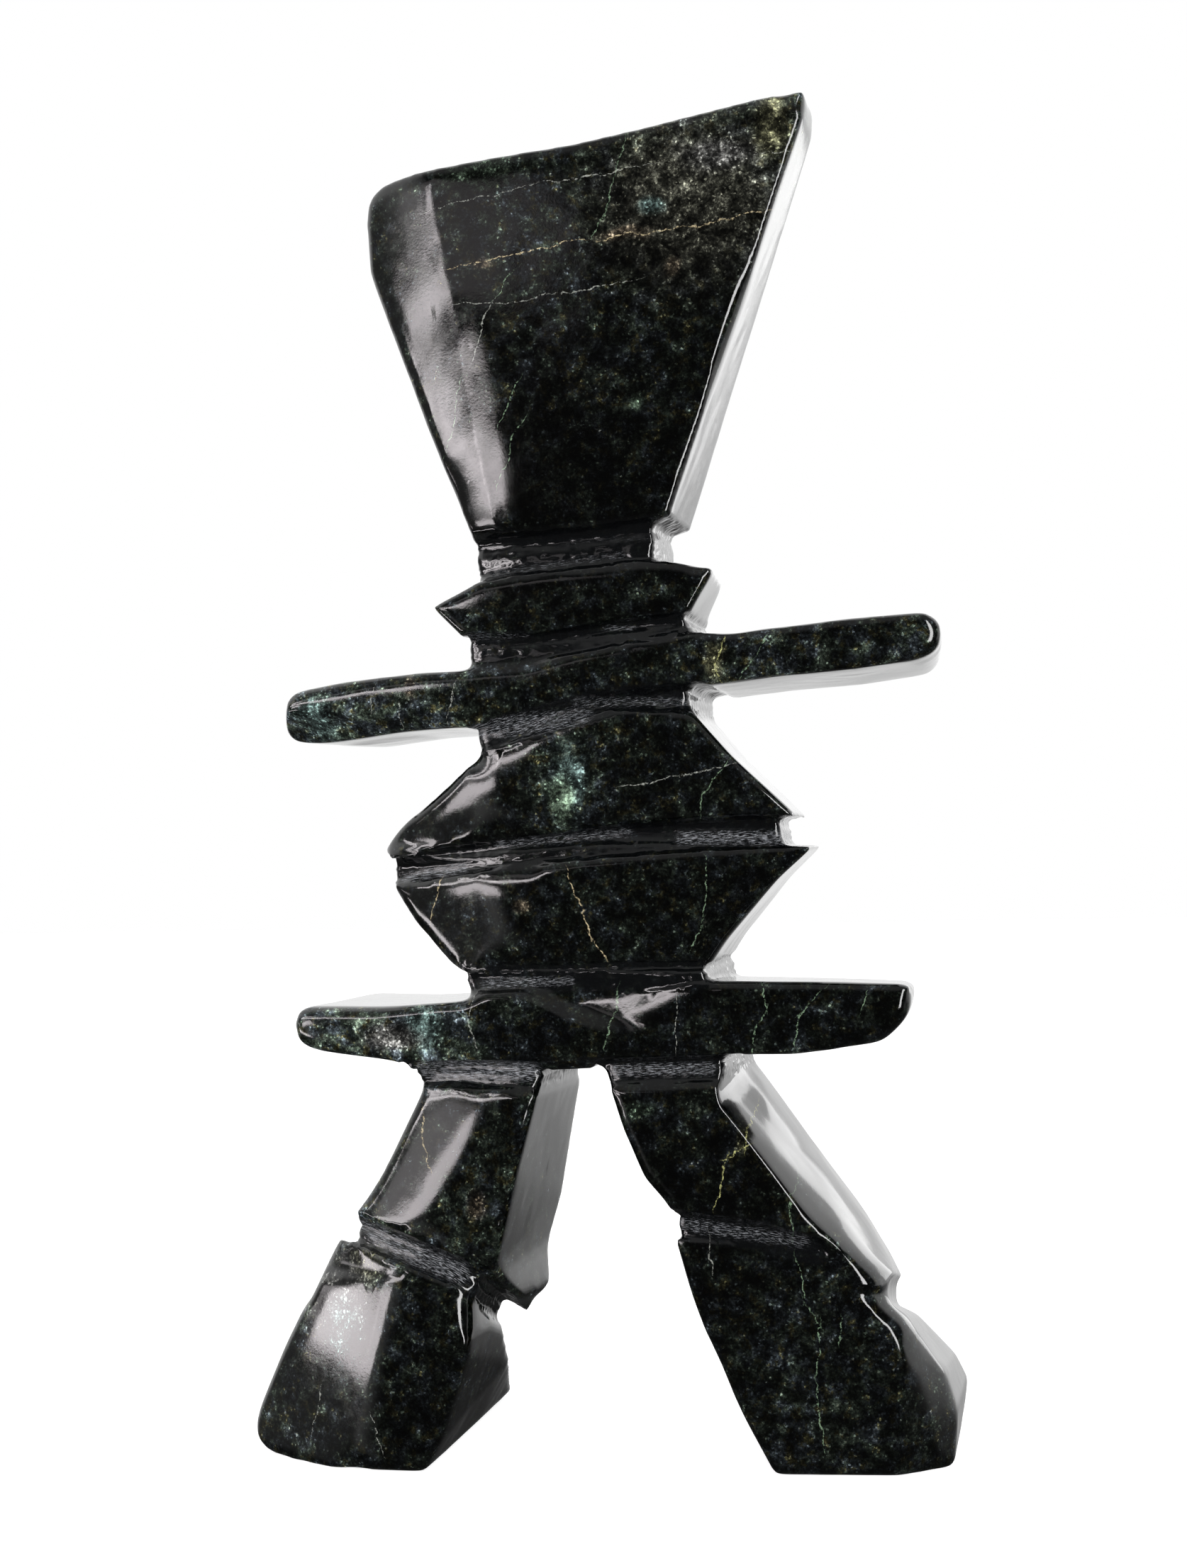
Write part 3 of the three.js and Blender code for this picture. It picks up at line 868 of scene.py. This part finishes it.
# %% Stains
STAIN_HUES = {
    "tan": colour(1.24, 1.02, 0.72),
    "yellow": colour(1.08, 1.08, 0.62),
    "green": colour(0.80, 1.14, 0.80),
    "teal": colour(0.74, 1.10, 1.02),
    "white": colour(1.02, 1.02, 0.96),
    "moss": colour(1.05, 1.06, 0.82),
}
STAINS = [
    # hue, x, z, half width and half height in shares, doublings
    ("moss", 6.0, 92.0, 8.5, 7.5, 0.0),
    ("tan", -9.6, 88.7, 1.0, 0.6, 2.5),
    ("tan", 1.2, 90.2, 2.2, 0.6, 2.5),
    ("white", 8.4, 95.5, 3.2, 1.5, 1.0),
    ("tan", 4.8, 87.4, 0.7, 1.0, 2.4),
    ("yellow", 12.2, 97.5, 1.6, 3.0, 0.5),
    ("teal", 3.4, 92.1, 1.2, 0.8, 1.6),
    ("green", 2.0, 77.6, 0.7, 0.8, 2.6),
    ("green", -10.0, 96.0, 4.0, 2.0, 0.8),
    ("yellow", 7.4, 58.4, 0.9, 1.6, 3.0),
    ("tan", -15.5, 57.2, 0.5, 1.0, 2.0),
    ("teal", -23.0, 55.4, 2.0, 2.0, 0.8),
    ("teal", -3.4, 50.2, 1.7, 3.2, 2.6),
    ("green", -4.2, 48.7, 1.2, 2.2, 1.6),
    ("tan", -7.1, 41.0, 0.8, 0.7, 2.4),
    ("teal", -14.6, 32.4, 1.6, 2.0, 1.0),
    ("white", -17.2, 31.6, 2.6, 1.1, 0.8),
    ("tan", -10.8, 19.4, 0.8, 1.4, 1.6),
    ("yellow", -19.8, 15.0, 2.0, 1.6, 1.0),
    ("white", -22.0, 12.0, 3.4, 4.4, 1.0),
    ("teal", -21.4, 9.2, 2.0, 3.4, 0.8),
    ("green", 1.2, 26.4, 1.3, 0.9, 1.8),
    ("yellow", 8.8, 24.2, 0.6, 1.2, 1.8),
]
STAIN_RIM = 1.3
STAIN_SOFT = 0.7
LIGHTEST = 0.42

for kind, x, z, half_width, half_height, more in STAINS:
    half_wide = half_width * STAIN_RIM * SHARE
    half_high = half_height * STAIN_RIM * SHARE
    shape = oval(x, z, half_wide, half_high, soft=STAIN_SOFT)
    doublings = math_node("MULTIPLY_ADD", shape, more, doublings)
    hue = blend_colour(shape, hue, STAIN_HUES[kind])
lightness = math_node("MULTIPLY", math_node("POWER", 2.0, doublings), DARKEST)
lightness = math_node("MINIMUM", lightness, LIGHTEST)
stone_colour = vector_node("SCALE", hue, scale=lightness)
print("stains:", len(STAINS))

# %% [markdown]
# Then the veins. Each is a line of points on the drawing, as it shows on the front, and every
# stretch between two points is one very thin oval. Veins of one colour are gathered before they are
# laid over the stone, and a noise breaks them, because a real one is seldom whole.

# %% Veins
VEINS = {
    # half the width in mm, how strong, and the lines
    "pale": (0.17, 0.60, [
        [(-14.5, 93.0), (-6.0, 94.3), (3.5, 95.0)],
        [(-11.6, 85.7), (-8.0, 85.6), (-4.4, 85.9), (2.0, 86.7)],
        [(11.0, 95.2), (13.3, 95.5)],
        [(-8.7, 86.0), (-9.8, 83.4), (-10.6, 81.4)],
        [(-18.2, 57.4), (-18.5, 55.7)],
        [(-16.2, 56.3), (-16.2, 54.6)],
        [(-11.9, 57.4), (-12.6, 54.7)],
        [(0.5, 49.6), (4.0, 50.2), (8.7, 51.1)],
        [(-10.8, 34.5), (-11.2, 32.7), (-10.7, 30.8)],
        [(4.3, 34.7), (4.1, 30.7)],
        [(-23.3, 5.8), (-24.1, 2.2)],
        [(-18.9, 3.9), (-18.1, 1.4)],
        [(6.0, 18.2), (6.3, 14.8)],
    ]),
    "tan": (0.19, 0.75, [
        [(-12.1, 88.6), (-9.7, 88.9), (-1.2, 89.9), (6.0, 90.3), (11.7, 91.2)],
        [(-3.8, 43.5), (-2.6, 40.7), (-2.2, 38.9), (-1.0, 37.1)],
        [(-13.5, 43.4), (-14.0, 41.6), (-14.5, 40.0)],
        [(-15.2, 26.5), (-15.0, 23.8), (-14.4, 21.9)],
    ]),
    "green": (0.17, 0.60, [
        [(1.5, 97.4), (0.7, 94.6), (0.0, 92.0), (-1.0, 90.3)],
        [(-7.0, 88.0), (-8.7, 86.0)],
        [(-11.2, 80.2), (-11.9, 77.8), (-12.8, 74.4)],
        [(-6.8, 80.0), (-8.5, 76.3)],
        [(-6.4, 77.0), (-7.5, 75.0), (-8.5, 72.0)],
        [(11.2, 60.4), (10.4, 59.1), (10.0, 58.4), (9.3, 57.3)],
        [(8.0, 51.2), (6.3, 48.8), (6.1, 47.4)],
        [(6.4, 44.0), (6.4, 42.0), (6.2, 39.7), (5.0, 37.5)],
        [(-0.2, 35.1), (-0.4, 33.2), (-1.0, 30.8)],
        [(10.5, 35.0), (10.7, 33.5), (9.9, 31.9), (9.5, 30.6)],
        [(14.6, 34.7), (13.0, 33.2), (12.5, 31.0)],
        [(17.8, 34.6), (17.3, 33.4)],
        [(12.3, 21.6), (12.1, 16.2), (12.8, 12.8), (13.8, 11.0),
         (13.5, 7.0), (13.6, 4.6), (14.0, 2.1)],
        [(15.2, 11.6), (15.1, 9.6)],
    ]),
    "yellow": (0.20, 0.75, [
        [(9.0, 26.2), (9.0, 23.7), (7.7, 23.0), (6.6, 19.4)],
        [(8.0, 60.0), (7.6, 58.0), (7.8, 56.8)],
    ]),
}
VEIN_COLOURS = {
    "pale": colour(0.30, 0.31, 0.28),
    "tan": colour(0.40, 0.33, 0.20),
    "green": colour(0.17, 0.25, 0.16),
    "yellow": colour(0.34, 0.34, 0.14),
}

BREAKS = (0.8 * MM, 4.0, 0.80)
WHOLE = (0.43, 0.60)
VEIN_OVERLAP = 0.35
VEIN_RIM = 1.25

breaks = ramp(noise(where, *BREAKS), *WHOLE)
count = 0
for kind, (half_width, strength, lines) in VEINS.items():
    gathered = 0.0
    for line in lines:
        for (x0, z0), (x1, z1) in zip(line, line[1:]):
            half_long = (0.5 * math.hypot(x1 - x0, z1 - z0) + VEIN_OVERLAP) * SHARE * VEIN_RIM
            way = math.degrees(math.atan2(z1 - z0, x1 - x0))
            stretch = oval((x0 + x1) / 2, (z0 + z1) / 2, half_long, half_width * MM, way)
            gathered = math_node("MAXIMUM", stretch, gathered)
            count += 1
    share = math_node("MULTIPLY", math_node("MULTIPLY", gathered, strength), breaks)
    stone_colour = blend_colour(share, stone_colour, VEIN_COLOURS[kind])
print("stretches of vein:", count)

# %% [markdown]
# The groove floors come next: they are painted nearly black, partly for their dull stone and partly as
# painted shade in the recess. Where they were left rasped, short whitish dashes run along them: a noise
# that is stretched seven times along the groove.

# %% Groove floors
GROOVE_BLACK_AND_SHADE = colour(0.0016, 0.0018, 0.0021)
GROOVE_SHADE_COVER = 0.8
DASH_WHITE = colour(0.24, 0.25, 0.27)
DASH_STRETCH = 0.14
SCRATCHES = (0.20 * MM, 4.0, 0.75)
DASHES_BEGIN = (0.54, 0.78)
MORE_DASHES = 0.09

groove_mask = mask_on_points("groove")
scratch_place = tree.nodes.new("ShaderNodeCombineXYZ")
feed(scratch_place.inputs["X"], math_node("MULTIPLY", mask_on_points("groove_along"), DASH_STRETCH))
feed(scratch_place.inputs["Y"], mask_on_points("groove_across"))
scratches = noise(scratch_place.outputs["Vector"], *SCRATCHES)
whiteness = math_node("MULTIPLY", mask_on_points("rasped"), groove_mask)
dashes = ramp(math_node("MULTIPLY_ADD", whiteness, MORE_DASHES, scratches), *DASHES_BEGIN)
dashes = math_node("MULTIPLY", dashes, whiteness)
# painted shade: the groove floors are blended towards near-black, partly their dull stone and partly
# the shade that falls into the recess
groove_shade_cover = math_node("MULTIPLY", groove_mask, GROOVE_SHADE_COVER)
stone_colour = blend_colour(groove_shade_cover, stone_colour, GROOVE_BLACK_AND_SHADE)
stone_colour = blend_colour(dashes, stone_colour, DASH_WHITE)
print("grooves darkened and scratched")

# %% [markdown]
# The finish comes last. Waxed faces are glossy, and a little less so where the crumbs are pale. The
# dashes are dust in scratches, so they are matt. A very low relief lets grains and scratches catch
# the light.

# %% Finish
FROM_DARK_TO_PALE = (0.35, 0.65)
ROUGHNESS_OF_WAX = (0.065, 0.11)
ROUGHNESS_OF_DUST = 0.4
RELIEF_HEIGHT = 0.03 * MM
GRAIN_RELIEF = 0.25
SERPENTINE_IOR = 1.57

polish = ramp(crumbs, *FROM_DARK_TO_PALE, *ROUGHNESS_OF_WAX)
roughness = math_node("MULTIPLY_ADD", dashes, ROUGHNESS_OF_DUST, polish)

bump = tree.nodes.new("ShaderNodeBump")
feed(bump.inputs["Strength"], 1.0)
feed(bump.inputs["Distance"], RELIEF_HEIGHT)
relief = math_node("MULTIPLY", grains, GRAIN_RELIEF)
relief = math_node("MULTIPLY_ADD", scratches, whiteness, relief)
feed(bump.inputs["Height"], relief)

shader = tree.nodes.new("ShaderNodeBsdfPrincipled")
feed(shader.inputs["Base Color"], stone_colour)
feed(shader.inputs["Roughness"], roughness)
feed(shader.inputs["IOR"], SERPENTINE_IOR)
feed(shader.inputs["Normal"], bump.outputs["Normal"])
output = tree.nodes.new("ShaderNodeOutputMaterial")
feed(output.inputs["Surface"], shader.outputs["BSDF"])
carving.data.materials.clear()
carving.data.materials.append(serpentine)
print("nodes in the stone's material:", len(tree.nodes))

# %% [markdown]
# The figure stands on a white sheet. The sheet glows a little by itself, so that it stays white and
# keeps only faint shadows right under the feet. The polished stone doesn't mirror it: close to the
# ground the real one mirrors something dark.

# %% Floor
SHEET_SIZE = 6
SHEET_GREY = colour(0.4, 0.4, 0.4)
SHEET_ROUGHNESS = 0.9
SHEET_GLOW = 0.85

bpy.ops.mesh.primitive_plane_add(size=SHEET_SIZE, location=(0, 0, 0))
floor = bpy.context.object
floor.name = "white_sheet"
white = bpy.data.materials.new("white_sheet")
white.use_nodes = True
sheet_shader = white.node_tree.nodes["Principled BSDF"]
feed(sheet_shader.inputs["Base Color"], SHEET_GREY)
feed(sheet_shader.inputs["Roughness"], SHEET_ROUGHNESS)
feed(sheet_shader.inputs["Emission Color"], colour(1, 1, 1))
feed(sheet_shader.inputs["Emission Strength"], SHEET_GLOW)
floor.data.materials.append(white)
floor.visible_glossy = False
print("floor", [round(v, 2) for v in floor.dimensions])

# %% [markdown]
# Polished stone shows what stands around it more than it shows light and shade. The front mirrors a
# dark room with a dim ceiling, and flanks and undersides mirror the studio behind the figure, which
# is bright above and dark near the ground. So the world is built by direction: first how bright it
# is at each height, then a wide dark cone in front, and a smaller one at the lower left, where
# something dark stands beside the table. The camera itself sees plain white. The helpers from
# above add their nodes to the world's tree from here on.

# %% World
ROOM_TURN = math.radians(24)
ROOM_RISE = math.radians(28)
ROOM_WAY = Vector((math.sin(ROOM_TURN) * math.cos(ROOM_RISE),
                   -math.cos(ROOM_TURN) * math.cos(ROOM_RISE),
                   math.sin(ROOM_RISE)))
ROOM_CONE = (74, 58)
CHAIR_WAY = Vector((-0.92, -0.28, -0.28))
CHAIR_CONE = (42, 28)
CHAIR_DARK = 0.85
CEILING_RISE = (25, 50)
CEILING_LIGHT = (0.035, 0.30)
STUDIO = [
    # rise in degrees, brightness
    (-22, 0.04),
    (-17, 0.20),
    (-14, 0.42),
    (-9, 0.80),
    (-5, 1.00),
    (0, 1.05),
    (6, 1.30),
    (13, 1.20),
]


def rise_at(degrees):
    return math.sin(math.radians(degrees))


def cone(way, rim, core, most=1.0):
    """How much a direction lies in a cone. Rim and core are in degrees off its middle."""
    toward = vector_node("DOT_PRODUCT", way_out, way)
    return ramp(toward, math.cos(math.radians(rim)), math.cos(math.radians(core)), 0.0, most)


world = bpy.data.worlds.new("studio")
bpy.context.scene.world = world
world.use_nodes = True
tree = world.node_tree
tree.nodes.clear()
way_out = tree.nodes.new("ShaderNodeTexCoord").outputs["Generated"]
rise = vector_node("DOT_PRODUCT", way_out, (0, 0, 1))
studio = STUDIO[0][1]
for (low_rise, low_light), (high_rise, high_light) in zip(STUDIO, STUDIO[1:]):
    more_light = high_light - low_light
    step = ramp(rise, rise_at(low_rise), rise_at(high_rise), 0.0, more_light)
    studio = math_node("ADD", step, studio)
room = cone(ROOM_WAY, *ROOM_CONE)
ceiling = ramp(rise, rise_at(CEILING_RISE[0]), rise_at(CEILING_RISE[1]), *CEILING_LIGHT)
chair = cone(CHAIR_WAY, *CHAIR_CONE, CHAIR_DARK)
room = math_node("MAXIMUM", room, chair)
outside_room = math_node("MULTIPLY", studio, math_node("SUBTRACT", 1.0, room))
brightness = math_node("ADD", outside_room, math_node("MULTIPLY", room, ceiling))
seen = tree.nodes.new("ShaderNodeLightPath").outputs["Is Camera Ray"]
unseen = math_node("SUBTRACT", 1.0, seen)
strength = math_node("ADD", math_node("MULTIPLY", brightness, unseen), seen)
background = tree.nodes.new("ShaderNodeBackground")
feed(background.inputs["Color"], colour(1, 1, 1))
feed(background.inputs["Strength"], strength)
feed(tree.nodes.new("ShaderNodeOutputWorld").inputs["Surface"], background.outputs["Background"])
print("world ready")

# %% [markdown]
# The ground flats mirror a window on the left: an upper pane and two lower ones with a bar between
# them, a dim curtain above, a wall further away that is bright low down, and a bright strip of table
# close by. The panes hang only a metre away, so that the head sees them and the legs, lower down,
# see what is under them. Most hang a little askew, as they do in the bent mirror of the stone. A dim
# glow stands behind the figure. On the right a narrow upright lamp draws the fine bright lines along
# the rounded arrises. A large soft lamp in front lights the stone and isn't mirrored at all.

# %% Window and lamps
def pane(name, turn, distance, bottom, top, wide, radiance, tint=(1, 1, 1), askew=0):
    """A glowing upright rectangle that faces the figure. Turns in degrees, sizes in metres."""
    side_turn = math.radians(turn)
    way = Vector((math.sin(side_turn), -math.cos(side_turn), 0))
    lamp = bpy.data.lights.new(name, "AREA")
    lamp.shape = "RECTANGLE"
    lamp.size = wide
    lamp.size_y = top - bottom
    lamp.energy = radiance * math.pi * lamp.size * lamp.size_y
    lamp.color = tint
    stand = bpy.data.objects.new(name, lamp)
    stand.location = way * distance + Vector((0, 0, (bottom + top) / 2))
    facing = (-way).to_track_quat("-Z", "Y") @ Quaternion((0, 0, 1), math.radians(askew))
    stand.rotation_euler = facing.to_euler()
    stand.visible_camera = False
    bpy.context.scene.collection.objects.link(stand)
    return stand


DAYLIGHT = (1.0, 0.94, 0.96)

# name, turn, distance, bottom, top, width, radiance, tint, askew
pane("window_upper", -46, 1.0, 0.421, 0.470, 0.43, 9.5, DAYLIGHT, 14)
pane("window_lower", -47, 1.0, 0.323, 0.377, 0.54, 10.5, DAYLIGHT, 5.5)
pane("window_lower_right", -26, 1.0, 0.368, 0.430, 0.26, 9.5, DAYLIGHT, 6)
pane("curtain", -33, 1.0, 0.490, 0.600, 0.75, 0.6, DAYLIGHT, 8)
pane("wall_below_window", -41.5, 3.0, 0.100, 0.440, 1.05, 8.0, DAYLIGHT, 15)
pane("wall_upper", -43, 3.0, 0.440, 0.700, 1.00, 1.2, DAYLIGHT)
pane("table_strip", -57, 0.4, 0.008, 0.036, 0.245, 9.5, DAYLIGHT, -9)
pane("table_left", -76, 1.0, 0.070, 0.120, 0.30, 2.4, DAYLIGHT, -9)
pane("backdrop_glow", 152, 2.5, 0.0, 0.70, 1.2, 1.5)
pane("edge_lamp", 42, 1.5, -0.30, 1.20, 0.32, 12.0)
soft = pane("soft_front", 12, 2.4, 1.2, 2.8, 2.2, 9.0)
soft.visible_glossy = False
bpy.context.scene.view_settings.view_transform = "Standard"
print("lamps hung")
